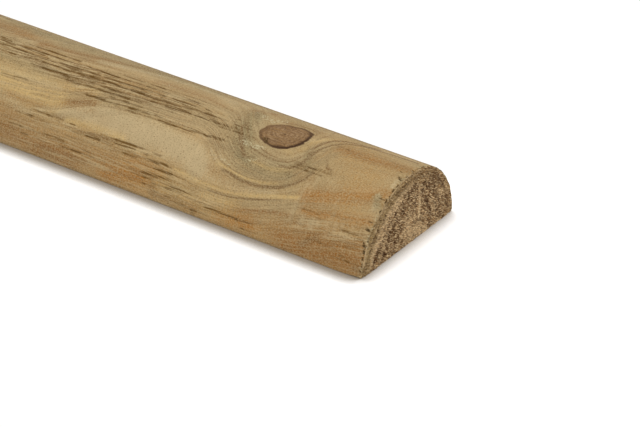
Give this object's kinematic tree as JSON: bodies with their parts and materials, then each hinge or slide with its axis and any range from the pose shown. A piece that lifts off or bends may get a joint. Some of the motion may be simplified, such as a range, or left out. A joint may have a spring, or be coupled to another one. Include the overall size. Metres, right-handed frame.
{
  "type": "half-round timber post",
  "caption": "Half-round softwood post, sawn flat on one side and rounded on the other, for fences, rails and stakes.",
  "frame": {"origin": "middle of the flat sawn face, on which the post lies", "axes": "+X along the post to the end that the picture shows, +Y across the sawn face, +Z out through the round back"},
  "size_m": [1.8, 0.0998, 0.048],
  "materials": {
    "treated_softwood": "sawn and milled, pressure treated, unplaned"
  },
  "bodies": {
    "root": {"half_round_post": "treated_softwood"}
  },
  "joints": []
}
